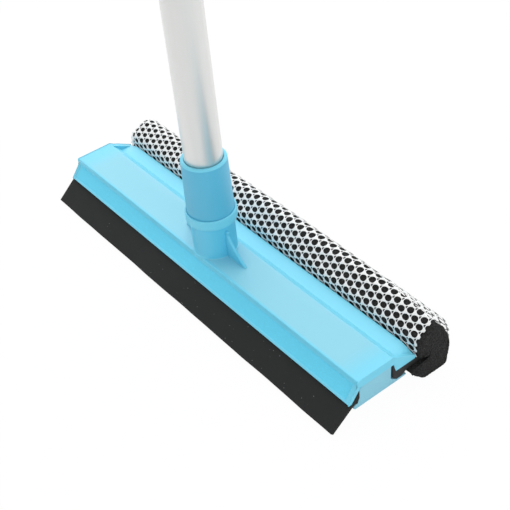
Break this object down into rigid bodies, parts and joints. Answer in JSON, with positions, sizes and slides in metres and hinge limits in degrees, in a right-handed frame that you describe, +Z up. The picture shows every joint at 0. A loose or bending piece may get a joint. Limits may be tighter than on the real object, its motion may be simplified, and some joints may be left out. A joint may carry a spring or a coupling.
{
  "type": "telescopic squeegee",
  "caption": "Window squeegee with a rubber blade in front and a netted sponge behind, on a twist-lock telescopic pole that screws into the head.",
  "frame": {"origin": "centre of the part's box at the surface it stands on; the pole's axis is at x -0.0008, y -0.0098", "axes": "+Z up along the pole, X along the head, +Y from the blade towards the sponge"},
  "size_m": [0.253, 0.0753, 0.649],
  "materials": {
    "blue_plastic": "satin moulded",
    "pale_plastic": "satin moulded",
    "black_rubber": "matt",
    "black_foam": "open-celled foam",
    "white_net": "knitted mesh",
    "aluminium": "drawn tube, satin",
    "steel": "zinc plated",
    "grey_plastic": "moulded",
    "white_plastic": "moulded"
  },
  "bodies": {
    "head": {"head_plate": "blue_plastic", "base_channel": "pale_plastic", "base_screw_1": "steel", "base_screw_2": "steel", "base_screw_3": "steel", "base_screw_4": "steel", "base_screw_5": "steel", "base_screw_6": "steel", "squeegee_blade": "black_rubber", "sponge_carrier": "black_rubber", "sponge_core": "black_foam", "sponge_net": "white_net"},
    "washer": {"seal_washer": "black_rubber"},
    "pole": {"pole_ferrule": "blue_plastic", "ferrule_rivet": "steel", "inner_tube": "aluminium", "tube_plug": "grey_plastic", "stop_ring": "aluminium"},
    "bush": {"guide_bush": "grey_plastic"},
    "extension": {"outer_tube": "aluminium", "lock_body": "grey_plastic", "lock_collet": "white_plastic", "handle_grip": "blue_plastic", "end_cap": "blue_plastic"},
    "nut": {"lock_nut": "blue_plastic"}
  },
  "joints": [
    {"name": "ferrule_lift", "type": "slide", "parent": "head", "child": "washer", "axis": [0, 0, 1], "range_m": [0, 0.0178]},
    {"name": "ferrule_turn", "type": "hinge", "parent": "washer", "child": "pole", "pos_m": [-0.0008, -0.0098, 0.05], "axis": [0, 0, 1], "range_deg": [0, 1260]},
    {"name": "pole_spin", "type": "hinge", "parent": "pole", "child": "bush", "pos_m": [-0.0008, -0.0098, 0.57], "axis": [0, 0, 1], "continuous": true},
    {"name": "pole_extend", "type": "slide", "parent": "bush", "child": "extension", "axis": [0, 0, 1], "range_m": [0, 0.35]},
    {"name": "lock_twist", "type": "hinge", "parent": "extension", "child": "nut", "pos_m": [-0.0008, -0.0098, 0.195], "axis": [0, 0, 1], "range_deg": [0, 90]}
  ],
  "couplings": [
    {"joint": "ferrule_lift", "follows": "ferrule_turn", "m_per_rad": 0.00080851}
  ]
}
